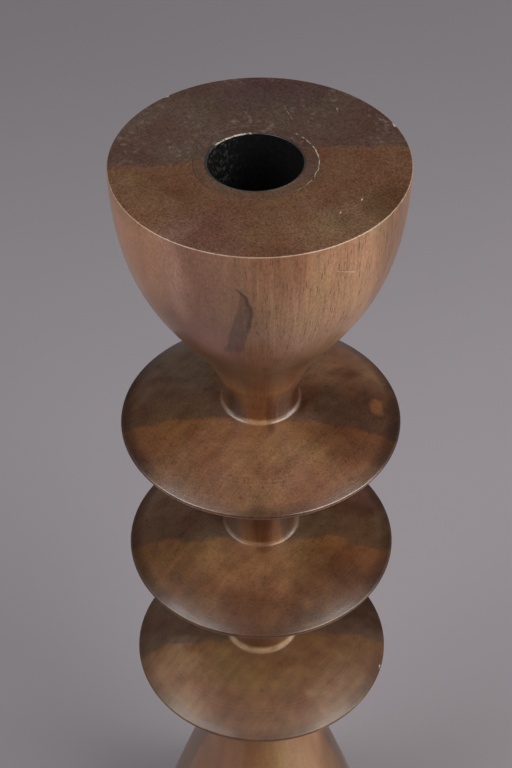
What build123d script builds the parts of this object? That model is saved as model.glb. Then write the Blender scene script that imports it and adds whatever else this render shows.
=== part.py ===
# A turned walnut candle stand: a socket cup, three lens-shaped discs on necks, and a bell base.
# Five turned sections stand on each other, with a dowel pin in every joint.
# Origin at the middle of the underside, +Z up.
import os

from build123d import *

# Sizes in millimetres.
# Candle cup: its side is one curve from the rim down to its foot on the collar.
top_diameter = 70.0
cup_height = 63.3
cup_rim_handle = 38.5
cup_foot_handle = 18.5
cup_foot_flare = 5.7
cup_foot_diameter = 22.5
cup_rim_rounding = 0.4

# Discs: lenses with a thin rim, a bulged crown above it and a bulged belly below it.
disc_diameter = 72.6
disc_crown = 7.0
disc_belly = 8.0
crown_bulge = 1.8
belly_bulge = 1.9
rim_nose = 0.32
rim_half_thickness = 0.56

# Necks: straight, with a small cove where they stand on a crown.
neck_diameter = 19.4
neck_length = 31.2
neck_foot_diameter = 21.0
neck_cove = 2.2
neck_cove_handle = 0.56

# The upper disc's neck is a short collar that opens out to carry the cup.
collar_height = 10.5
collar_draw = 3.2

# Bell base, its foot as wide as the discs.
base_diameter = disc_diameter
base_height = 100.0
base_neck_handle = 10.2
base_foot_handle = 19.5
foot_rounding = 1.0

# Dowel pins, one in each joint between sections.
dowel_diameter = 10.0
dowel_length = 18.0
dowel_chamfer = 0.8
dowel_end_gap = 0.8
glue_gap = 0.05

# Candle socket: a metal liner dropped into a wooden bush, a little left of the middle.
candle_bore = 22.3
liner_wall = 0.45
liner_floor = 0.8
liner_depth = 24.0
liner_corner = 0.7
liner_lip_rounding = 0.15
liner_clearance = 0.06
bush_diameter = 28.9
bush_sink = 0.08
bush_chamfer = 0.12
socket_offset = -1.0

# Felt pad, let into the underside of the base.
pad_diameter = 56.0
pad_thickness = 2.0
pad_recess = 1.2
pad_gap = 0.3

# Levels, from the surface that the stand rests on.
disc_thickness = disc_belly + disc_crown
base_bottom = pad_thickness - pad_recess
base_top = base_bottom + base_height
lower_neck_top = base_top + disc_thickness + neck_length
middle_neck_top = lower_neck_top + disc_thickness + neck_length
collar_foot = middle_neck_top + disc_thickness
collar_top = collar_foot + collar_height
cup_top = collar_top + cup_height
socket_floor = cup_top - liner_depth

# Radii that several pieces share.
top_radius = top_diameter / 2
cup_foot_radius = cup_foot_diameter / 2
disc_radius = disc_diameter / 2
neck_radius = neck_diameter / 2
neck_foot_radius = neck_foot_diameter / 2
base_radius = base_diameter / 2
liner_radius = candle_bore / 2 + liner_wall
bush_radius = bush_diameter / 2

socket_axis = (socket_offset, 0)
above = (Align.CENTER, Align.CENTER, Align.MIN)
below = (Align.CENTER, Align.CENTER, Align.MAX)
level_tolerance = 0.001


def draw_disc(belly_level):
    # The side of a disc, from its underside round the rim and over the crown to the top of the cove.
    rim_level = belly_level + disc_belly
    crown_level = rim_level + disc_crown
    belly_start = (neck_radius, belly_level)
    nose_below = (disc_radius - rim_nose, rim_level - rim_half_thickness)
    nose_above = (disc_radius - rim_nose, rim_level + rim_half_thickness)
    neck_foot = (neck_foot_radius, crown_level)
    SagittaArc(belly_start, nose_below, -belly_bulge)
    ThreePointArc(nose_below, (disc_radius, rim_level), nose_above)
    SagittaArc(nose_above, neck_foot, -crown_bulge)
    Bezier(
        neck_foot,
        (neck_radius, crown_level + neck_cove_handle),
        (neck_radius, crown_level + neck_cove),
    )


def rings_at(piece, level):
    # The circular edges of a piece at one level.
    rings = piece.edges().filter_by(GeomType.CIRCLE)
    return rings.filter_by_position(Axis.Z, level - level_tolerance, level + level_tolerance)


def bore_for_dowel(level, side):
    # One half of a dowel's hole, sunk from a joint face into the section above or below it.
    with Locations((0, 0, level)):
        Cylinder(
            dowel_diameter / 2 + glue_gap,
            dowel_length / 2 + dowel_end_gap,
            align=side,
            mode=Mode.SUBTRACT,
        )


def write(piece, name):
    piece.label = name
    export_step(piece, f"parts/{name}.step")


os.makedirs("parts", exist_ok=True)

# Candle cup, bored for the bush.
with BuildPart() as candle_cup:
    with BuildSketch(Plane.XZ):
        with BuildLine():
            Bezier(
                (top_radius, cup_top),
                (top_radius, cup_top - cup_rim_handle),
                (cup_foot_radius + cup_foot_flare, collar_top + cup_foot_handle),
                (cup_foot_radius, collar_top),
            )
            Polyline(
                (cup_foot_radius, collar_top),
                (0, collar_top),
                (0, cup_top),
                (top_radius, cup_top),
            )
        make_face()
    revolve(axis=Axis.Z)
    fillet(rings_at(candle_cup, cup_top), cup_rim_rounding)
    bore_for_dowel(collar_top, above)
    with BuildSketch(Plane.XY.offset(socket_floor)):
        with Locations(socket_axis):
            Circle(bush_radius + glue_gap)
    extrude(amount=liner_depth, mode=Mode.SUBTRACT)
    socket_mouth = rings_at(candle_cup, cup_top).sort_by(SortBy.RADIUS)[0]
    chamfer(socket_mouth, bush_chamfer)
write(candle_cup.part, "candle_cup")

# Upper disc with its collar.
with BuildPart() as upper_disc:
    with BuildSketch(Plane.XZ):
        with BuildLine():
            draw_disc(middle_neck_top)
            Bezier(
                (neck_radius, collar_foot + neck_cove),
                (neck_radius, collar_top - collar_draw),
                (cup_foot_radius, collar_top),
            )
            Polyline(
                (cup_foot_radius, collar_top),
                (0, collar_top),
                (0, middle_neck_top),
                (neck_radius, middle_neck_top),
            )
        make_face()
    revolve(axis=Axis.Z)
    bore_for_dowel(middle_neck_top, above)
    bore_for_dowel(collar_top, below)
write(upper_disc.part, "upper_disc")

# Middle and lower discs, each with the straight neck that carries the disc above.
belly_levels = {"middle_disc": lower_neck_top, "lower_disc": base_top}
for disc_name, belly_level in belly_levels.items():
    neck_base = belly_level + disc_thickness
    neck_top = neck_base + neck_length
    with BuildPart() as disc:
        with BuildSketch(Plane.XZ):
            with BuildLine():
                draw_disc(belly_level)
                Polyline(
                    (neck_radius, neck_base + neck_cove),
                    (neck_radius, neck_top),
                    (0, neck_top),
                    (0, belly_level),
                    (neck_radius, belly_level),
                )
            make_face()
        revolve(axis=Axis.Z)
        bore_for_dowel(belly_level, above)
        bore_for_dowel(neck_top, below)
    write(disc.part, disc_name)

# Bell base, recessed underneath for the pad.
with BuildPart() as base:
    with BuildSketch(Plane.XZ):
        with BuildLine():
            Bezier(
                (neck_radius, base_top),
                (neck_radius, base_top - base_neck_handle),
                (base_radius, base_bottom + base_foot_handle),
                (base_radius, base_bottom),
            )
            Polyline(
                (base_radius, base_bottom),
                (0, base_bottom),
                (0, base_top),
                (neck_radius, base_top),
            )
        make_face()
    revolve(axis=Axis.Z)
    fillet(rings_at(base, base_bottom), foot_rounding)
    bore_for_dowel(base_top, below)
    with Locations((0, 0, base_bottom)):
        Cylinder(pad_diameter / 2 + pad_gap, pad_recess, align=above, mode=Mode.SUBTRACT)
write(base.part, "base")

# Dowel pins, half in the section below a joint and half in the section above it.
joint_levels = {
    "cup_dowel": collar_top,
    "upper_dowel": middle_neck_top,
    "middle_dowel": lower_neck_top,
    "lower_dowel": base_top,
}
for dowel_name, joint_level in joint_levels.items():
    with BuildPart() as dowel:
        with Locations((0, 0, joint_level)):
            Cylinder(dowel_diameter / 2, dowel_length)
        chamfer(dowel.edges().filter_by(GeomType.CIRCLE), dowel_chamfer)
    write(dowel.part, dowel_name)

# Wooden bush, glued into the cup and sunk a little below its top.
with BuildPart() as socket_bush:
    with BuildSketch(Plane.XY.offset(socket_floor)):
        with Locations(socket_axis):
            Circle(bush_radius)
            Circle(liner_radius + liner_clearance, mode=Mode.SUBTRACT)
    extrude(amount=liner_depth - bush_sink)
    bush_mouth = rings_at(socket_bush, cup_top - bush_sink)
    chamfer(bush_mouth.sort_by(SortBy.RADIUS)[-1], bush_chamfer)
write(socket_bush.part, "socket_bush")

# Metal liner: a thin closed cup standing on the floor of the socket.
with BuildPart() as candle_liner:
    with BuildSketch(Plane.XY.offset(socket_floor)):
        with Locations(socket_axis):
            Circle(liner_radius)
    extrude(amount=liner_depth)
    fillet(rings_at(candle_liner, socket_floor), liner_corner)
    with BuildSketch(Plane.XY.offset(socket_floor + liner_floor)):
        with Locations(socket_axis):
            Circle(candle_bore / 2)
    extrude(amount=liner_depth - liner_floor, mode=Mode.SUBTRACT)
    fillet(rings_at(candle_liner, cup_top), liner_lip_rounding)
write(candle_liner.part, "candle_liner")

# Felt pad, standing proud of the base so that the stand rests on it.
with BuildPart() as base_pad:
    Cylinder(pad_diameter / 2, pad_thickness, align=above)
write(base_pad.part, "base_pad")
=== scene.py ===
import math

import bpy
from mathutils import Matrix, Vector


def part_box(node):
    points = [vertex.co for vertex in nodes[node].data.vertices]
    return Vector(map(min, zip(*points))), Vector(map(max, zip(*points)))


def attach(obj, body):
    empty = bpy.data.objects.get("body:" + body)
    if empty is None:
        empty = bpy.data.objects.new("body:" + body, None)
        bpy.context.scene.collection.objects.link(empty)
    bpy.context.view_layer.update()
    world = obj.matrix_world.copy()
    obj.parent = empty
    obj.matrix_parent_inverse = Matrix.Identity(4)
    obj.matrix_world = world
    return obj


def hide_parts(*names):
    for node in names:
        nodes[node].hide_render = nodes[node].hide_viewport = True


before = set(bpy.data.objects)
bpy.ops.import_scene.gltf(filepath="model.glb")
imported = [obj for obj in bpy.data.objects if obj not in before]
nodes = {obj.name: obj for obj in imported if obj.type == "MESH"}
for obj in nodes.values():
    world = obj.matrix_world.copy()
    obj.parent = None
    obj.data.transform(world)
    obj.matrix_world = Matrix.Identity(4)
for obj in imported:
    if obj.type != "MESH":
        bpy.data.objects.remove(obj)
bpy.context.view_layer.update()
print("frame loaded with", len(nodes), "nodes")

mmPerMetre = 1000.0  # the materials are worked out in millimetres


def nodeBox(name):
    low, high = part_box(name)
    return low * mmPerMetre, high * mmPerMetre


# Materials


class Wire:
    # one socket of a node tree; sums of wires and numbers add Math nodes

    def __init__(self, tree, socket=None):
        self.tree = tree
        self.socket = socket

    def node(self, kind, settings=None, links=None, output=0):
        made = self.tree.nodes.new(kind)
        for name, value in (settings or {}).items():
            if name == "stops":
                setStops(made.color_ramp.elements, value)
            else:
                setattr(made, name, value)
        for name, value in (links or {}).items():
            if isinstance(value, Wire):
                self.tree.links.new(value.socket, made.inputs[name])
            else:
                made.inputs[name].default_value = value
        return Wire(self.tree, made.outputs[output])

    def math(self, operation, *values):
        return self.node("ShaderNodeMath", {"operation": operation}, dict(enumerate(values)))

    def vector(self, operation, *values):
        return self.node("ShaderNodeVectorMath", {"operation": operation}, dict(enumerate(values)))

    def length(self):
        return self.node("ShaderNodeVectorMath", {"operation": "LENGTH"}, {0: self}, "Value")

    def dot(self, other):
        return self.node("ShaderNodeVectorMath", {"operation": "DOT_PRODUCT"}, {0: self, 1: other}, "Value")

    def __add__(self, other):
        return self.math("ADD", self, other)

    __radd__ = __add__

    def __sub__(self, other):
        return self.math("SUBTRACT", self, other)

    def __rsub__(self, other):
        return self.math("SUBTRACT", other, self)

    def __mul__(self, other):
        return self.math("MULTIPLY", self, other)

    __rmul__ = __mul__

    def __truediv__(self, other):
        return self.math("DIVIDE", self, other)

    def __rtruediv__(self, other):
        return self.math("DIVIDE", other, self)

    def __pow__(self, power):
        return self.math("POWER", self, power)

    def __abs__(self):
        return self.math("ABSOLUTE", self)


def setStops(elements, stops):
    while len(elements) < len(stops):
        elements.new(1.0)
    for element, (position, tone) in zip(elements, stops):
        element.position = position
        element.color = (*tone, 1.0)


def newMaterial(name):
    material = bpy.data.materials.new(name)
    material.use_nodes = True
    tree = material.node_tree
    shader = tree.nodes["Principled BSDF"]
    metres = Wire(tree).node("ShaderNodeTexCoord", output="Object")
    place = metres.vector("MULTIPLY", metres, (mmPerMetre,) * 3)
    return material, shader, place


def plug(shader, sockets):
    # wires are linked, and values that are the same all over are set on the socket itself
    for name, value in sockets.items():
        if isinstance(value, Wire):
            value.tree.links.new(value.socket, shader.inputs[name])
        else:
            shader.inputs[name].default_value = value


def turned(place, degrees):
    settings = {"rotation_type": "Z_AXIS"}
    return place.node("ShaderNodeVectorRotate", settings, {"Vector": place, "Angle": math.radians(degrees)})


def axes(place):
    return [place.node("ShaderNodeSeparateXYZ", links={0: place}, output=i) for i in range(3)]


def ease(value, low, high):
    # 0 below low and 1 above high, or the other way round where low is the larger
    return value.node(
        "ShaderNodeMapRange",
        {"interpolation_type": "SMOOTHSTEP"},
        {"Value": value, "From Min": low, "From Max": high},
    )


def within(value, low, high, soft):
    return ease(value, low - soft, low + soft) * ease(value, high + soft, high - soft)


def follow(value, points):
    # the amount at a value, by soft steps from each (value, amount) point to the next
    amount = points[0][1]
    for (start, before), (end, after) in zip(points, points[1:]):
        amount = ease(value, start, end) * (after - before) + amount
    return amount


def mixTones(factor, under, over):
    return factor.node("ShaderNodeMix", {"data_type": "RGBA"}, {0: factor, 6: under, 7: over}, 2)


def shadeTone(tone, factor):
    settings = {"data_type": "RGBA", "blend_type": "MULTIPLY"}
    return tone.node("ShaderNodeMix", settings, {0: 1.0, 6: tone, 7: factor}, 2)


def tintTone(tone, tint):
    return shadeTone(tone, (*tint, 1.0))


def atLeast(value, floor):
    return value.math("MAXIMUM", value, floor)


def atMost(value, ceiling):
    return value.math("MINIMUM", value, ceiling)


# levels of detail in the noise, and how gritty it is
plainNoise = 1.0
softNoise = 2.0
fineNoise = 3.0
raggedNoise = 4.0
fibreNoise = 5.0
evenGrit = 0.5
moreGrit = 0.6


def cloud(place, size, detail=softNoise, grit=evenGrit):
    # noise from 0 to 1; size is its grain in mm, one number or one each along X, Y and Z
    size = size if isinstance(size, tuple) else (size,) * 3
    scaled = place.vector("DIVIDE", place, size)
    return place.node(
        "ShaderNodeTexNoise",
        links={"Vector": scaled, "Scale": 1.0, "Detail": detail, "Roughness": grit},
    )


def sway(*settings):
    # the same noise, from -0.5 to 0.5
    return cloud(*settings) - 0.5


poreCore = 0.45  # how much of a pore's thickness is fully dark


def vessels(place, spacing, length, thickness):
    # the open pores of the wood: slim cells along Z, dots on end grain and dashes on the sides
    scaled = place.vector("DIVIDE", place, (spacing, spacing, length))
    middle = place.node("ShaderNodeTexVoronoi", links={"Vector": scaled, "Scale": 1.0}, output="Distance")
    return ease(middle, thickness, thickness * poreCore)


def radiusFrom(x, y, middleX=0.0):
    return ((x - middleX) * (x - middleX) + y * y) ** 0.5


def bumpNormal(height, strength, depthMm):
    return height.node(
        "ShaderNodeBump",
        links={"Strength": strength, "Distance": depthMm / mmPerMetre, "Height": height},
    )


# a pair of numbers is where an effect starts and where it is full, in mm unless it is noise or a facing
walnut = {
    "tones": [
        (0.34, (0.235, 0.096, 0.045)),
        (0.50, (0.257, 0.119, 0.057)),
        (0.66, (0.263, 0.135, 0.058)),
    ],
    "driftSize": (15.0, 15.0, 60.0),
    "mottleSize": (4.0, 4.0, 14.0),
    "mottle": 0.35,
    "slantTurn": 40.0,
    "slantSize": (2.0, 18.0, 60.0),
    "slant": 0.6,
    "crownMottle": 0.5,
    "crownFleckSize": (1.5, 1.5, 4.0),
    "crownFleckFrom": (0.58, 0.72),
    "crownFleck": 0.35,
    "sideRadius": 28.0,
    "coarseFrom": (-15.0, 1.0),
    "leftGrain": 0.2,
    "figureSize": (0.6, 0.6, 12.0),
    "figure": 1.0,
    "endFigure": 0.3,
    "speckSize": (0.45, 0.45, 0.9),
    "speck": 1.1,
    "topSpeck": 1.0,
    "turningSize": 0.5,
    "turning": 0.4,
    "detailByLevel": [(200.0, 1.0), (110.0, 0.4)],
    # pores
    "poreSpacing": 0.37,
    "poreLength": 5.5,
    "poreThickness": 0.29,
    "pore": 0.74,
    "poreOffBand": 0.8,
    "poreOffEnds": 0.85,
    "poreLevels": (190.0, 240.0),
    "lowPores": 0.15,
    "poreGroupSize": (2.0, 2.0, 7.0),
    "poreGroups": (0.36, 0.60),
    # the flat top, the discs and the painted shade on the necks
    "endFacing": (0.25, 0.95),
    "topDepth": (2.0, 0.5),
    "topTint": (0.441, 0.446, 0.490),
    "discReach": (30.0, 34.0),
    "discTop": (213.0, 210.0),
    "discBottom": (99.0, 102.0),
    "crownTint": (0.549, 0.523, 0.500),
    "neckReach": (12.8, 11.4),
    "neckTop": (219.0, 213.0),
    "neckShadeTint": (0.64, 0.57, 0.51),
    # the rims of the discs, with painted shade, painted light, and a darker edge that is part patina and
    # part painted reflection
    "rimFrom": (33.0, 35.2),
    "rimFront": (0.0, -16.0),
    "rimShade": 0.22,
    "rimGlossByLevel": [(205.0, 1.4), (162.0, 3.2), (150.0, 3.2), (116.0, 1.0)],
    "edgeFrom": (31.5, 35.5),
    "edgeWander": 4.0,
    "edgeAside": (0.66, 0.90),
    "edgeRear": (-2.0, 12.0),
    "edgeByLevel": [(200.0, 1.0), (160.0, 0.9), (110.0, 0.4)],
    "edgeTint": (0.46, 0.42, 0.40),
    "underEdgeFrom": (35.5, 36.0),
    "underEdgeFacing": (0.2, -0.2),
    "underEdgePaintedLight": (2.1, 2.0, 1.9),
    "noseFrom": (35.7, 36.1),
    "noseAside": (0.70, 0.92),
    # the painted highlight in the coves at the feet of the necks
    "coveHighlightTone": (0.66, 0.42, 0.23),
    "coveHeight": {"upper_disc": 0.9, "middle_disc": 0.9, "lower_disc": 1.5},
    "coveSoft": {"upper_disc": 0.4, "middle_disc": 0.4, "lower_disc": 0.8},
    "coveBelow": 0.1,
    "coveRadius": (11.2, 10.6),
    "coveByLevel": [(206.0, 0.34), (164.0, 0.20), (160.0, 0.20), (118.0, 0.60)],
    "coveBreakSize": 3.5,
    "coveBreaks": (0.36, 0.56),
    "coveBroken": 0.5,
    "coveFront": (1.0, -5.0),
    "coveBehind": 0.15,
    # heartwood, dust, and the tone of the wear marks and the painted rim highlight
    "rearTint": (0.63, 0.75, 1.05),
    "ragged": 10.0,
    "raggedSize": (9.0, 9.0, 30.0),
    "wanderSize": (7.0, 7.0, 22.0),
    "wander": 1.2,
    "dustTone": (0.30, 0.24, 0.20),
    "dustSize": 1.7,
    "dustFrom": (0.50, 0.72),
    "dustPatchSize": 8.0,
    "dustPatches": (0.42, 0.62),
    "dust": 0.28,
    "wornAndHighlightTone": (0.58, 0.44, 0.32),
    # gloss and relief
    "glossByLevel": [(205.0, 0.32), (162.0, 0.10), (150.0, 0.10), (116.0, 0.18)],
    "matteByLevel": [(150.0, 0.0), (116.0, 0.14), (104.0, 0.14), (98.0, 0.0)],
    "roughness": 0.34,
    "roughBy": {"specks": 0.2, "pores": 0.2, "top": 0.1, "marks": 0.2, "joint": 0.5, "nose": 0.35},
    "coatRoughness": 0.2,
    "index": 1.47,
    "speckHeight": 0.3,
    "figureHeight": 0.3,
    "poreDepth": 0.5,
    "bump": 0.25,
    "bumpDepth": 0.08,
}

discThickness = 15.0  # mm from the underside of a disc to the foot of the neck on it

blotchFade = (1.15, 0.55)  # where a patch starts and where it is full, in half sizes

# soft patches of tint: some are tone in the blank, many are painted light, painted shade and painted sheen;
# middle and half size in mm, and the tint inside
blotches = {
    # painted sheen on the bowl's right and left sides, and the bowl darker at its far right
    "bowlRight": {"middle": (19, -27, 259), "half": (21, 19, 34), "tint": (1.34, 1.49, 1.58)},
    "bowlFarRight": {"middle": (31, -17, 270), "half": (9, 10, 28), "tint": (0.64, 0.57, 0.50)},
    "bowlLeft": {"middle": (-28, -21, 273), "half": (15, 15, 21), "tint": (1.50, 1.66, 1.85)},
    "bowlBand": {"middle": (-13, -30, 263), "half": (11, 20, 40), "tint": (0.98, 0.98, 1.22)},
    "topLeft": {"middle": (-24, -16, 283), "half": (13, 10, 6), "tint": (0.80, 0.83, 0.74)},
    "topRight": {"middle": (22, -20, 283), "half": (13, 9, 6), "tint": (0.92, 0.99, 1.00)},
    # painted reflection: the bluer lift at the back of the flat top
    "topBack": {"middle": (-21, 13, 283), "half": (15, 12, 6), "tint": (1.15, 1.28, 1.32)},
    "topFar": {"middle": (2, 27, 283), "half": (17, 9, 6), "tint": (0.88, 0.85, 1.00)},
    "bushRight": {"middle": (12.2, -1, 282), "half": (2.4, 7, 3), "tint": (0.88, 1.04, 1.20)},
    # painted light on the lower bowl, the cup's foot darker, and painted dark reflection bands on the collar
    "bowlLow": {"middle": (-4, -28, 249), "half": (15, 12, 9), "tint": (1.20, 1.11, 1.28)},
    "cupFoot": {"middle": (0, 0, 217), "half": (20, 20, 16), "tint": (0.98, 0.82, 0.68)},
    "collarLeft": {"middle": (-6.5, -8, 213), "half": (2.6, 5, 9), "tint": (0.62, 0.52, 0.48)},
    "collarEdge": {"middle": (9.5, -4, 212), "half": (2.5, 5, 8), "tint": (0.62, 0.52, 0.44)},
    "collarRight": {"middle": (2.6, -11, 212), "half": (1.7, 4, 8), "tint": (0.62, 0.52, 0.48)},
    "upperLeft": {"middle": (-25, -6, 205), "half": (13, 16, 7), "tint": (0.82, 0.72, 0.62)},
    "upperRight": {"middle": (25, -6, 205), "half": (15, 19, 7), "tint": (0.62, 0.55, 0.49)},
    "upperFront": {"middle": (2, -24, 206), "half": (18, 12, 7), "tint": (1.08, 1.13, 1.18)},
    # painted shade on the front of the upper disc's rim
    "upperRim": {"middle": (0, -36.5, 201), "half": (12, 3, 4), "tint": (0.64, 0.57, 0.48)},
    "upperBackLeft": {"middle": (-21, 12, 205), "half": (17, 15, 8), "tint": (1.06, 1.22, 1.28)},
    "upperSpot": {"middle": (29.8, -0.8, 204.8), "half": (2.3, 3.3, 4), "tint": (2.3, 2.2, 1.6)},
    "upperBack": {"middle": (24, 14, 205), "half": (16, 14, 10), "tint": (1.76, 1.70, 1.46)},
    "middleLeft": {"middle": (-25, -6, 159), "half": (13, 16, 7), "tint": (0.80, 0.72, 0.68)},
    "middleRight": {"middle": (25, -6, 159), "half": (15, 17, 7), "tint": (0.84, 0.74, 0.59)},
    # painted shade on the front and right front of the middle disc, dimming its sheen
    "middleFront": {"middle": (0, -31, 157), "half": (18, 9, 5), "tint": (0.68, 0.65, 0.60)},
    "middleRightFront": {"middle": (19, -22, 159), "half": (13, 13, 7), "tint": (0.60, 0.56, 0.51)},
    "middleBackLeft": {"middle": (-21, 12, 159), "half": (17, 15, 8), "tint": (1.16, 1.26, 1.26)},
    "middleBack": {"middle": (24, 14, 159), "half": (16, 14, 8), "tint": (0.85, 0.70, 0.74)},
    # painted shade on the middle neck under the upper disc, and on the left front of the middle disc
    "middleNeckRight": {"middle": (7.5, -6.5, 178), "half": (4, 5, 22), "tint": (0.64, 0.56, 0.50)},
    "middleLeftFront": {"middle": (-20, -25, 157), "half": (10, 9, 6), "tint": (0.74, 0.68, 0.62)},
    "middleNeck": {"middle": (0.5, -9.7, 176), "half": (3.4, 6, 22), "tint": (0.62, 0.54, 0.50)},
    "middleInner": {"middle": (0, -12, 162), "half": (26, 12, 7), "tint": (1.22, 1.34, 1.30)},
    "lowerInner": {"middle": (0, -12, 115), "half": (30, 14, 7), "tint": (1.02, 1.10, 1.00)},
    "lowerInnerLeft": {"middle": (-17, -9, 115), "half": (9, 8, 5), "tint": (1.18, 1.20, 1.22)},
    # painted sheen on the left and right front of the lower disc
    "lowerLeft": {"middle": (-25, -19, 111), "half": (13, 16, 7), "tint": (1.64, 1.88, 2.15)},
    "lowerRight": {"middle": (24, -21, 111), "half": (13, 14, 7), "tint": (1.12, 1.19, 1.32)},
    "lowerBack": {"middle": (24, 14, 112), "half": (18, 16, 8), "tint": (0.48, 0.40, 0.25)},
    "lowerCrown": {"middle": (0, 0, 112), "half": (60, 60, 8), "tint": (0.90, 0.88, 0.84)},
    # painted light: a pale band on the right of the base
    "baseRight": {"middle": (20, -24, 60), "half": (20, 24, 60), "tint": (1.34, 1.62, 1.82)},
    "baseFarRight": {"middle": (24, -4, 56), "half": (8, 12, 40), "tint": (0.60, 0.54, 0.44)},
    "baseMiddle": {"middle": (0, -20, 76), "half": (7, 14, 40), "tint": (0.98, 0.98, 0.78)},
    "baseLeft": {"middle": (-22, -20, 60), "half": (18, 22, 60), "tint": (0.92, 1.00, 1.18)},
}

# where the darker heartwood starts: its place on the axis and its slope across, by level
heartEdge = {
    "offset": [(278.0, 2.2), (210.0, -8.6), (162.0, -7.1), (114.0, -4.1)],
    "slope": [(278.0, 0.137), (210.0, -0.07), (162.0, 0.0), (114.0, 0.08)],
    "soft": (-0.8, 1.0),
}

# a dark streak in the front of the bowl: where its two edges lie across, from the tip down
streak = {
    "left": [(273.0, -4.9), (269.4, -4.6), (266.4, -5.1), (260.4, -6.5), (253.9, -7.5), (247.9, -8.5)],
    "right": [(273.0, -4.9), (269.4, -2.7), (265.3, -1.7), (261.0, -2.2), (254.9, -3.2), (246.6, -4.4)],
    "soft": (-0.3, 0.5),
    "front": (0.0, -2.0),
    "top": 273.0,
    "topFade": 0.8,
    "bottom": 247.5,
    "bottomFade": (-1.5, 2.5),
    "raggedSize": (0.8, 0.8, 5.0),
    "ragged": 1.5,
    "raggedEnd": 3.0,
    "fibreSize": (0.45, 0.45, 5.0),
    "fibre": 1.2,
    "betweenFibres": 0.4,
    "tint": (0.58, 0.55, 0.63),
    "edgeInset": 0.4,
    "edgeWidth": (0.8, 0.1),
    "edgeRise": (8.0, 14.0),
    "edgeTint": (0.62, 0.57, 0.57),
}

# fine pale scratches, each from one point to another in mm
scratches = {
    "bowl": {"start": (16.9, -30.4, 274.3), "end": (20.8, -27.6, 271.9), "halfWidth": 0.16},
    "backLeft": {
        "start": (6.6, 20.3, 282.0), "end": (7.7, 16.9, 282.0), "halfWidth": 0.14, "strength": 0.35,
    },
    "backRight": {
        "start": (18.4, 21.4, 282.0), "end": (18.6, 20.0, 282.0), "halfWidth": 0.16, "strength": 0.7,
    },
    "frontRight": {"start": (22.5, -14.9, 282.0), "end": (22.7, -14.4, 282.0), "halfWidth": 0.2},
    "frontRightLow": {"start": (17.4, -19.8, 282.0), "end": (17.7, -19.2, 282.0), "halfWidth": 0.2},
    "bowlLeft": {
        "start": (-7.2, -34.2, 277.2), "end": (-7.1, -34.2, 277.5), "halfWidth": 0.2, "strength": 0.3,
    },
    "bowlRight": {"start": (26.3, -20.5, 263.5), "end": (26.4, -20.5, 263.9), "halfWidth": 0.2},
    "bowlRightHigh": {"start": (29.0, -17.4, 265.9), "end": (29.0, -17.4, 266.4), "halfWidth": 0.2},
    "rimLeft": {"start": (-22.4, 26.5, 282.0), "end": (-21.8, 27.0, 281.9), "halfWidth": 0.4},
    "rimRight": {"start": (31.4, 14.6, 282.0), "end": (31.7, 13.8, 281.9), "halfWidth": 0.4},
    "lowerRim": {"start": (34.4, -10.2, 109.3), "end": (34.2, -11.1, 109.3), "halfWidth": 0.32},
}


scratchCore = 0.4  # how much of a scratch's width is fully pale

# the pale line along the front of the cup's rim, partly wear and partly a painted highlight, and the joint
# round the bush with its chips
wearAndHighlight = {
    "nibbleSize": 1.1,
    "nibble": 0.8,
    "breakSize": 0.7,
    "breaks": (0.36, 0.48),
    "rimInset": 0.10,
    "rimNibble": 0.4,
    "rimWidth": (0.22, 0.06),
    "rimFront": (14.0, -4.0),
    "rim": 0.52,
    "jointGap": 0.05,
    "jointWidth": (0.34, 0.12),
    "jointDepth": (0.8, 0.3),
    "jointShade": 0.35,
    "chipWidth": (0.20, 0.05),
    "chipNibble": 0.5,
    "chipFrom": (7.5, 9.5),
    "chipWander": 4.0,
    "chipSize": 0.9,
    "chips": (0.36, 0.56),
    "chip": 0.9,
    "strength": 0.85,
}


def rearZone(place, x, y, z, look):
    # the heartwood lies behind a ragged plane that shifts from level to level
    offset = follow(z, heartEdge["offset"])
    slope = follow(z, heartEdge["slope"])
    wander = sway(place, look["raggedSize"], fibreNoise, moreGrit) * look["ragged"]
    return ease(y - offset - x * slope + wander, *heartEdge["soft"])


def discZone(radius, z, look):
    # 1 on the outer part of the discs
    return ease(radius, *look["discReach"]) * ease(z, *look["discTop"]) * ease(z, *look["discBottom"])


def paintedCoveHighlight(place, radius, y, z, look):
    # a painted highlight in the coves where the necks stand on the crowns, stronger at the front
    mark = 0.0
    for name, height in look["coveHeight"].items():
        foot = nodeBox(name)[0].z + discThickness
        mark = within(z, foot - look["coveBelow"], foot + height, look["coveSoft"][name]) + mark
    breaks = ease(cloud(place, look["coveBreakSize"], fineNoise), *look["coveBreaks"])
    mark = mark * (breaks * (1.0 - look["coveBroken"]) + look["coveBroken"])
    front = ease(y, *look["coveFront"]) * (1.0 - look["coveBehind"]) + look["coveBehind"]
    return mark * ease(radius, *look["coveRadius"]) * follow(z, look["coveByLevel"]) * front


def blotch(place, patch, wander):
    away = place.vector("SUBTRACT", place, patch["middle"])
    away = away.vector("DIVIDE", away, patch["half"])
    return ease(away.length() + wander, *blotchFade)


def streakMark(place, x, y, z, mark):
    # the streak itself, and the darker line along its upper right edge
    right = follow(z, mark["right"])
    ragged = sway(place, mark["raggedSize"], raggedNoise) * mark["ragged"]
    inside = atMost(x - follow(z, mark["left"]), right - x) + ragged
    lowEnd, highEnd = (mark["bottom"] + fade for fade in mark["bottomFade"])
    ends = ease(z + ragged * mark["raggedEnd"], lowEnd, highEnd)
    ends = ends * ease(z, mark["top"], mark["top"] - mark["topFade"]) * ease(y, *mark["front"])
    lowEdge, highEdge = (mark["bottom"] + rise for rise in mark["edgeRise"])
    edge = ease(abs(x - right + mark["edgeInset"]), *mark["edgeWidth"]) * ease(z, lowEdge, highEdge)
    return ease(inside, *mark["soft"]) * ends, edge * ends


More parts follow.
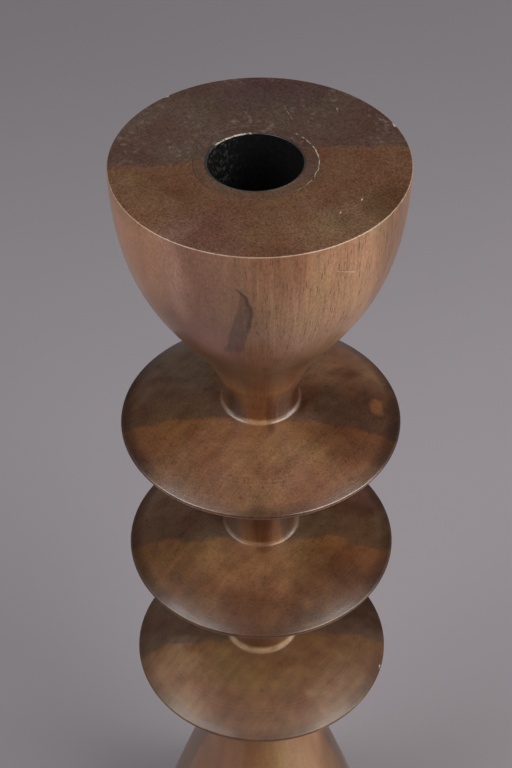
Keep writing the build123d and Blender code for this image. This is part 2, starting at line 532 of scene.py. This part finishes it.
def scratchMark(place, mark):
    # how near a point is to the line from start to end
    start = Vector(mark["start"])
    run = Vector(mark["end"]) - start
    away = place.vector("SUBTRACT", place, start)
    along = away.dot(run) / run.length_squared
    along = atMost(atLeast(along, 0.0), 1.0)
    nearest = place.node("ShaderNodeVectorMath", {"operation": "SCALE"}, {0: run, "Scale": along})
    gap = away.vector("SUBTRACT", away, nearest)
    return ease(gap.length(), mark["halfWidth"], mark["halfWidth"] * scratchCore)


def wearAndHighlightMarks(place, x, y, z, radius, mark):
    # the pale marks of the rim line (wear and a painted highlight, at the front only), the scratches and the
    # chips, and the dark joint round the bush
    low, high = nodeBox("candle_cup")
    rimRadius = (high.x - low.x) / 2
    nibble = sway(place, mark["nibbleSize"], fineNoise) * mark["nibble"]
    edge = abs(radius - rimRadius + mark["rimInset"]) + abs(z - high.z + mark["rimInset"])
    marks = ease(edge + nibble * mark["rimNibble"], *mark["rimWidth"])
    marks = marks * ease(y, *mark["rimFront"]) * mark["rim"]
    broken = ease(cloud(place, mark["breakSize"], plainNoise), *mark["breaks"])
    for scratch in scratches.values():
        marks = atLeast(marks, scratchMark(place, scratch) * broken * scratch.get("strength", 1.0))

    bushLow, bushHigh = nodeBox("socket_bush")
    middleX = (bushLow.x + bushHigh.x) / 2
    jointRadius = (bushHigh.x - bushLow.x) / 2 + mark["jointGap"]
    offJoint = radiusFrom(x, y, middleX) - jointRadius
    deep, shallow = mark["jointDepth"]
    nearTop = ease(z, high.z - deep, high.z - shallow)
    joint = ease(abs(offJoint), *mark["jointWidth"]) * nearTop
    chips = ease(abs(offJoint + nibble * mark["chipNibble"]), *mark["chipWidth"]) * nearTop
    chips = chips * ease(x + nibble * mark["chipWander"], *mark["chipFrom"])
    chips = chips * ease(cloud(place, mark["chipSize"], fineNoise), *mark["chips"])
    return atLeast(marks, chips * mark["chip"]), joint


def poreMark(side, z, coarse, endGrain, band, look):
    # the pores stand in groups on the sides, and are few on the smooth band, the ends and the lower parts
    pores = vessels(side, look["poreSpacing"], look["poreLength"], look["poreThickness"]) * coarse
    byLevel = ease(z, *look["poreLevels"]) * (1.0 - look["lowPores"]) + look["lowPores"]
    pores = pores * (1.0 - band * look["poreOffBand"]) * (1.0 - endGrain * look["poreOffEnds"]) * byLevel
    return pores * ease(cloud(side, look["poreGroupSize"], raggedNoise), *look["poreGroups"])


def dustMark(place, look):
    spots = ease(cloud(place, look["dustSize"], fineNoise, moreGrit), *look["dustFrom"])
    return spots * ease(cloud(place, look["dustPatchSize"]), *look["dustPatches"]) * look["dust"]


def walnutFinish(name, look):
    material, shader, place = newMaterial(name)
    x, y, z = axes(place)
    radius = radiusFrom(x, y)
    aside = abs(x) / radius

    # end grain: the flat top and the crowns of the discs
    facing = place.node("ShaderNodeTexCoord", output="Normal")
    upward = axes(facing)[2]
    endGrain = ease(abs(upward), *look["endFacing"])
    topLevel = nodeBox("candle_cup")[1].z
    deep, shallow = look["topDepth"]
    topFace = endGrain * ease(z, topLevel - deep, topLevel - shallow)
    onDisc = discZone(radius, z, look)
    crown = atLeast(endGrain - topFace, onDisc)

    # grain: on the sides it is spread on a cylinder, so that it is as coarse all round
    drift = cloud(place, look["driftSize"], fineNoise)
    tone = drift.node("ShaderNodeValToRGB", {"stops": look["tones"]}, {0: drift})
    mottle = sway(place, look["mottleSize"], fineNoise)
    slant = sway(turned(place, look["slantTurn"]), look["slantSize"], raggedNoise)
    toSide = look["sideRadius"] / radius
    spread = place.node("ShaderNodeCombineXYZ", links={0: toSide, 1: toSide, 2: 1.0})
    side = place.vector("MULTIPLY", place, spread)
    coarse = ease(x, *look["coarseFrom"]) * (1.0 - look["leftGrain"]) + look["leftGrain"]
    sideFigure = sway(side, look["figureSize"], fineNoise) * coarse * (1.0 - endGrain)
    endFigure = sway(place, look["figureSize"], fineNoise) * endGrain * look["endFigure"]
    figure = sideFigure + endFigure
    detail = follow(z, look["detailByLevel"])
    specks = sway(place, look["speckSize"], fineNoise) * detail
    turning = sway(place.node("ShaderNodeCombineXYZ", links={0: radius}), look["turningSize"])
    crownFlecks = cloud(place, look["crownFleckSize"], raggedNoise, moreGrit)
    crownFlecks = ease(crownFlecks, *look["crownFleckFrom"]) * detail * look["crownFleck"]
    shade = mottle * look["mottle"] + specks * (topFace * look["topSpeck"] + look["speck"]) + 1.0
    crownShade = slant * look["slant"] + turning * look["turning"] + mottle * look["crownMottle"]
    shade = shade + (crownShade - crownFlecks) * crown + figure * detail * look["figure"]
    tone = shadeTone(tone, shade)

    # patches of tone and of painted light and shade, the discs' rims with painted shade and light, painted
    # shade on the necks, flat top, painted cove highlight and heartwood
    wander = sway(place, look["wanderSize"], raggedNoise) * look["wander"]
    for patch in blotches.values():
        tone = mixTones(blotch(place, patch, wander), tone, tintTone(tone, patch["tint"]))
    # painted shade on the front of the disc rims, so that their sheen reads whiter
    rimBand = ease(radius, *look["rimFrom"]) * onDisc * ease(y, *look["rimFront"])
    tone = shadeTone(tone, 1.0 - rimBand * look["rimShade"])
    # the side and rear edges of the discs are darker: partly patina, partly a painted dark reflection
    edgeSide = ease(radius + mottle * look["edgeWander"], *look["edgeFrom"]) * onDisc
    edgeSide = edgeSide * atLeast(ease(aside, *look["edgeAside"]), ease(y, *look["edgeRear"]))
    edgeSide = edgeSide * follow(z, look["edgeByLevel"])
    tone = mixTones(edgeSide, tone, tintTone(tone, look["edgeTint"]))
    # painted shade on the necks under the discs
    neck = ease(radius, *look["neckReach"]) * ease(z, *look["neckTop"]) * (1.0 - endGrain)
    tone = mixTones(neck, tone, tintTone(tone, look["neckShadeTint"]))
    # the flat top is darker end grain, and the blue in its tint is a painted grey reflection
    tone = mixTones(topFace, tone, tintTone(tone, look["topTint"]))
    tone = mixTones(paintedCoveHighlight(place, radius, y, z, look), tone, (*look["coveHighlightTone"], 1.0))
    rear = rearZone(place, x, y, z, look)
    tone = mixTones(rear, tone, tintTone(tone, look["rearTint"]))

    # pores, crowns, painted light under the disc rims, dust on the flat top and the streak
    band = blotch(place, blotches["bowlBand"], wander)
    pores = poreMark(side, z, coarse, endGrain, band, look)
    tone = shadeTone(tone, 1.0 - pores * look["pore"])
    tone = mixTones(crown, tone, tintTone(tone, look["crownTint"]))
    # painted light on the downward half of the disc rims, where shade falls
    underEdge = ease(radius, *look["underEdgeFrom"]) * onDisc * ease(upward, *look["underEdgeFacing"])
    tone = mixTones(underEdge, tone, tintTone(tone, look["underEdgePaintedLight"]))
    tone = mixTones(dustMark(place, look) * rear * topFace, tone, (*look["dustTone"], 1.0))
    stain, stainEdge = streakMark(place, x, y, z, streak)
    stain = stain * (cloud(side, streak["fibreSize"], fineNoise) * streak["fibre"] + streak["betweenFibres"])
    tone = mixTones(stain, tone, tintTone(tone, streak["tint"]))
    tone = mixTones(stainEdge, tone, tintTone(tone, streak["edgeTint"]))

    marks, joint = wearAndHighlightMarks(place, x, y, z, radius, wearAndHighlight)
    tone = shadeTone(tone, 1.0 - joint * wearAndHighlight["jointShade"])
    tone = mixTones(marks * wearAndHighlight["strength"], tone, (*look["wornAndHighlightTone"], 1.0))

    nose = ease(radius, *look["noseFrom"]) * onDisc * ease(aside, *look["noseAside"])
    gloss = follow(z, look["glossByLevel"]) * (rimBand * follow(z, look["rimGlossByLevel"]) + 1.0)
    gloss = gloss * (1.0 - nose) * (1.0 - joint)
    parts = {"specks": specks, "pores": pores, "top": topFace, "marks": marks, "joint": joint, "nose": nose}
    rough = follow(z, look["matteByLevel"]) + look["roughness"]
    for part, amount in look["roughBy"].items():
        rough = rough + parts[part] * amount
    height = specks * look["speckHeight"] + figure * look["figureHeight"] + turning * crown
    height = height - pores * look["poreDepth"]
    plug(shader, {
        "Base Color": tone,
        "Roughness": rough,
        "Normal": bumpNormal(height, look["bump"], look["bumpDepth"]),
        "Coat Weight": gloss,
        "Coat Roughness": look["coatRoughness"],
        "IOR": look["index"],
    })
    return material


blackMetal = {
    "tone": (0.006, 0.006, 0.006),
    "dustTone": (0.12, 0.12, 0.115),
    "dustSize": 0.9,
    "dustGrit": 0.65,
    "dustFrom": (0.48, 0.70),
    "dustSide": (-2.0, -9.0),
    "dustElsewhere": 0.1,
    "dust": 0.26,
    "lipTone": (0.040, 0.033, 0.030),
    "lipDepth": (0.35, 0.05),
    "bareHighlightTone": (0.48, 0.43, 0.38),
    "bareTurn": 118.0,
    "bareSpread": 34.0,
    "bareSoft": 1.2,
    "bareFrom": (0.40, 0.54),
    "roughness": 0.26,
    "dustRough": 0.4,
    "lipRough": 0.12,
    "bump": 0.2,
    "bumpDepth": 0.05,
}


def linerFinish(name, look):
    material, shader, place = newMaterial(name)
    x, y, z = axes(place)
    low, high = nodeBox("candle_liner")
    middle = (low + high) / 2

    grains = cloud(place, look["dustSize"], raggedNoise, look["dustGrit"])
    # dust on the liner, heavier on its left wall, where the pale specks also stand for painted light on that
    # wall
    leftSide = ease(x - middle.x, *look["dustSide"])
    dust = ease(grains, *look["dustFrom"])
    dust = dust * (leftSide * (1.0 - look["dustElsewhere"]) + look["dustElsewhere"])
    tone = mixTones(dust * look["dust"], (*look["tone"], 1.0), (*look["dustTone"], 1.0))

    deep, shallow = look["lipDepth"]
    lip = ease(z, high.z - deep, high.z - shallow)
    tone = mixTones(lip, tone, (*look["lipTone"], 1.0))
    # a pale crescent at the back-left of the lip: worn bare metal, painted pale as its highlight
    turn = math.radians(look["bareTurn"])
    ahead = (x - middle.x) * math.cos(turn) + y * math.sin(turn)
    reach = math.cos(math.radians(look["bareSpread"])) * (high.x - low.x) / 2
    bare = ease(ahead, reach, reach + look["bareSoft"]) * lip * ease(grains, *look["bareFrom"])
    tone = mixTones(bare, tone, (*look["bareHighlightTone"], 1.0))

    plug(shader, {
        "Base Color": tone,
        "Roughness": dust * look["dustRough"] + lip * look["lipRough"] + look["roughness"],
        "Normal": bumpNormal(dust, look["bump"], look["bumpDepth"]),
    })
    return material


birch = {
    "tone": (0.56, 0.42, 0.27),
    "paleTone": (0.62, 0.47, 0.31),
    "figureSize": (0.8, 0.8, 20.0),
    "figure": 0.3,
    "betweenFigure": 0.8,
    "roughness": 0.55,
    "figureRough": 0.1,
}


def dowelFinish(name, look):
    material, shader, place = newMaterial(name)
    figure = cloud(place, look["figureSize"], fineNoise)
    tone = mixTones(figure, (*look["tone"], 1.0), (*look["paleTone"], 1.0))
    plug(shader, {
        "Base Color": shadeTone(tone, figure * look["figure"] + look["betweenFigure"]),
        "Roughness": figure * look["figureRough"] + look["roughness"],
    })
    return material


felt = {
    "tone": (0.022, 0.045, 0.028),
    "paleTone": (0.045, 0.075, 0.05),
    "fibreSize": 0.35,
    "fibreGrit": 0.7,
    "fibres": (0.35, 0.65),
    "patchSize": 9.0,
    "patch": 0.5,
    "betweenPatches": 0.75,
    "roughness": 0.95,
    "bump": 0.8,
    "bumpDepth": 0.2,
}


def feltFinish(name, look):
    material, shader, place = newMaterial(name)
    fibres = cloud(place, look["fibreSize"], fibreNoise, look["fibreGrit"])
    patches = cloud(place, look["patchSize"])
    tone = mixTones(ease(fibres, *look["fibres"]), (*look["tone"], 1.0), (*look["paleTone"], 1.0))
    plug(shader, {
        "Base Color": shadeTone(tone, patches * look["patch"] + look["betweenPatches"]),
        "Roughness": look["roughness"],
        "Normal": bumpNormal(fibres, look["bump"], look["bumpDepth"]),
    })
    return material


# the bush is the same wood with a greyer, duller top
bushWalnut = {
    **walnut,
    "topTint": (0.353, 0.381, 0.464),
    "rearTint": (0.74, 0.80, 1.0),
    "roughness": 0.42,
}

walnutWood = walnutFinish("walnutWood", walnut)
bushWood = walnutFinish("bushWood", bushWalnut)
blackLiner = linerFinish("blackLiner", blackMetal)
dowelWood = dowelFinish("dowelWood", birch)
greenFelt = feltFinish("greenFelt", felt)

finishes = {
    "candle_cup": walnutWood,
    "upper_disc": walnutWood,
    "middle_disc": walnutWood,
    "lower_disc": walnutWood,
    "base": walnutWood,
    "cup_dowel": dowelWood,
    "upper_dowel": dowelWood,
    "middle_dowel": dowelWood,
    "lower_dowel": dowelWood,
    "socket_bush": bushWood,
    "candle_liner": blackLiner,
    "base_pad": greenFelt,
}
for name, finish in finishes.items():
    nodes[name].material_slots[0].material = finish
print("finishes set on", len(finishes), "nodes")

# Felt pad

# lengths in metres
padShape = {
    "inset": 0.0001,
    "sides": 128,
    "edgeRound": 0.0005,
    "edgeSegments": 3,
    "edgeProfile": 0.5,
    "rings": 6,
    "smoothAngle": 40.0,
}
flatFacing = 0.9  # a face whose normal stands this steep is a top or bottom face
quadCorners = 4


def selectFaces(piece, test):
    bpy.ops.object.mode_set(mode="OBJECT")
    for face in piece.data.polygons:
        face.select = test(face)
    bpy.ops.object.mode_set(mode="EDIT")


def isFlat(face):
    return abs(face.normal.z) > flatFacing


def isFlatMiddle(face):
    return isFlat(face) and len(face.vertices) > quadCorners


def feltPad(shape):
    low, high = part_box("base_pad")
    radius = (high.x - low.x) / 2
    bpy.ops.object.select_all(action="DESELECT")
    bpy.ops.mesh.primitive_cylinder_add(
        vertices=shape["sides"],
        radius=radius - shape["inset"],
        depth=high.z - low.z,
        location=(low + high) / 2,
    )
    pad = bpy.context.object
    pad.name = "felt_pad"
    bpy.ops.object.transform_apply(location=True, rotation=True, scale=True)
    bpy.ops.object.mode_set(mode="EDIT")
    bpy.ops.mesh.select_mode(type="FACE")
    selectFaces(pad, isFlat)
    bpy.ops.mesh.bevel(
        offset=shape["edgeRound"],
        segments=shape["edgeSegments"],
        profile=shape["edgeProfile"],
    )
    for ring in range(shape["rings"]):
        selectFaces(pad, isFlatMiddle)
        bpy.ops.mesh.inset(thickness=radius / (shape["rings"] + 1))
    bpy.ops.object.mode_set(mode="OBJECT")
    bpy.ops.object.shade_smooth_by_angle(angle=math.radians(shape["smoothAngle"]))
    pad.data.materials.append(greenFelt)
    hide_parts("base_pad")
    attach(pad, "stand")


feltPad(padShape)
print("felt pad modelled")

# Floor, light and camera

coolTone = (0.97, 0.985, 1.0)
warmTone = (1.0, 0.985, 0.97)
studio = {
    "floorSize": 6.0,
    "floorTone": (0.35, 0.322, 0.344),
    "paintedFloorLight": [(20.0, 0.88), (230.0, 0.93), (560.0, 0.855)],
    "paintedFloorSideLight": [(-260.0, 0.965), (260.0, 1.035)],
    "farFrom": (620.0, 1500.0),
    "farTone": 2.2,
    "paperSize": 160.0,
    "paper": 0.06,
    "floorRoughness": 0.9,
    "floorShine": 0.2,
    "skyTone": (0.30, 0.29, 0.31),
    "skyStrength": 0.10,
    "lights": {
        "rightKey": {
            "turn": 56.0, "rise": 39.0, "reach": 0.64,
            "size": (0.46, 0.34), "power": 3.6, "tone": warmTone,
        },
        "rightFar": {
            "turn": 85.0, "rise": 12.0, "reach": 1.1,
            "size": (0.5, 0.5), "power": 4.6, "tone": warmTone,
        },
        "leftKey": {
            "turn": -67.0, "rise": 39.0, "reach": 0.64,
            "size": (0.34, 0.34), "power": 2.1, "tone": coolTone,
        },
        "leftHigh": {
            "turn": -45.0, "rise": 54.5, "reach": 0.86,
            "size": (0.28, 0.24), "power": 0.9, "tone": coolTone,
        },
        "leftFar": {
            "turn": -85.0, "rise": 12.0, "reach": 1.1,
            "size": (0.5, 0.5), "power": 1.3, "tone": coolTone,
        },
        "backFill": {
            "turn": 180.0, "rise": 11.0, "reach": 2.0,
            "size": (1.2, 0.7), "power": 15.0, "tone": (1.0, 0.99, 0.98),
        },
    },
    "aim": (0.0, 0.0, 0.2),
}


def floorFinish(name, look):
    material, shader, place = newMaterial(name)
    paper = cloud(place, look["paperSize"])
    x, y = axes(place)[:2]
    # painted light and shade on the floor: its tone steps front to back and side to side, and it is paler
    # far out
    shade = (paper * look["paper"] + follow(y, look["paintedFloorLight"])) * follow(x, look["paintedFloorSideLight"])
    far = ease(radiusFrom(x, y), *look["farFrom"])  # paler where the lamps fall off
    shade = shade * (far * (look["farTone"] - 1.0) + 1.0)
    grey = place.node("ShaderNodeCombineXYZ", links={0: shade, 1: shade, 2: shade})
    plug(shader, {
        "Base Color": tintTone(grey, look["floorTone"]),
        "Roughness": look["floorRoughness"],
        "Specular IOR Level": look["floorShine"],
    })
    return material


def addFloor(look):
    bpy.ops.object.select_all(action="DESELECT")
    bpy.ops.mesh.primitive_plane_add(size=look["floorSize"])
    floor = bpy.context.object
    floor.name = "studioFloor"
    floor.data.materials.append(floorFinish("paperFloor", look))


def addLights(look):
    for name, light in look["lights"].items():
        turn = math.radians(light["turn"])
        rise = math.radians(light["rise"])
        flat = light["reach"] * math.cos(rise)
        away = Vector((flat * math.sin(turn), -flat * math.cos(turn), light["reach"] * math.sin(rise)))
        bpy.ops.object.light_add(
            type="AREA",
            location=Vector(look["aim"]) + away,
            rotation=(math.pi / 2 - rise, 0.0, turn),
        )
        lamp = bpy.context.object
        lamp.name = name
        lamp.data.shape = "RECTANGLE"
        lamp.data.size, lamp.data.size_y = light["size"]
        lamp.data.energy = light["power"]
        lamp.data.color = light["tone"]
    bpy.data.objects["backFill"].visible_glossy = False  # it lights the back and leaves no sheen in front


def setSky(look):
    world = bpy.data.worlds.new("studioSky")
    world.use_nodes = True
    sky = world.node_tree.nodes["Background"]
    sky.inputs["Color"].default_value = (*look["skyTone"], 1.0)
    sky.inputs["Strength"].default_value = look["skyStrength"]
    bpy.context.scene.world = world
    bpy.context.scene.view_settings.view_transform = "Standard"


# place in metres, angles in degrees, lens and sensor in mm
view = {
    "place": (-0.00118, -0.32192, 0.51275),
    "pitch": 43.0,
    "roll": -0.36,
    "lens": 80.69,
    "sensor": 36.0,
    "clipStart": 0.01,
}


def addCamera(look):
    turn = (math.radians(90.0 - look["pitch"]), 0.0, 0.0)
    bpy.ops.object.camera_add(location=look["place"], rotation=turn)
    camera = bpy.context.object
    camera.name = "photoCamera"
    camera.data.lens = look["lens"]
    camera.data.sensor_width = look["sensor"]
    camera.data.clip_start = look["clipStart"]
    camera.rotation_euler.rotate_axis("Z", math.radians(look["roll"]))
    bpy.context.scene.camera = camera


addFloor(studio)
addLights(studio)
setSky(studio)
addCamera(view)
print("studio set")
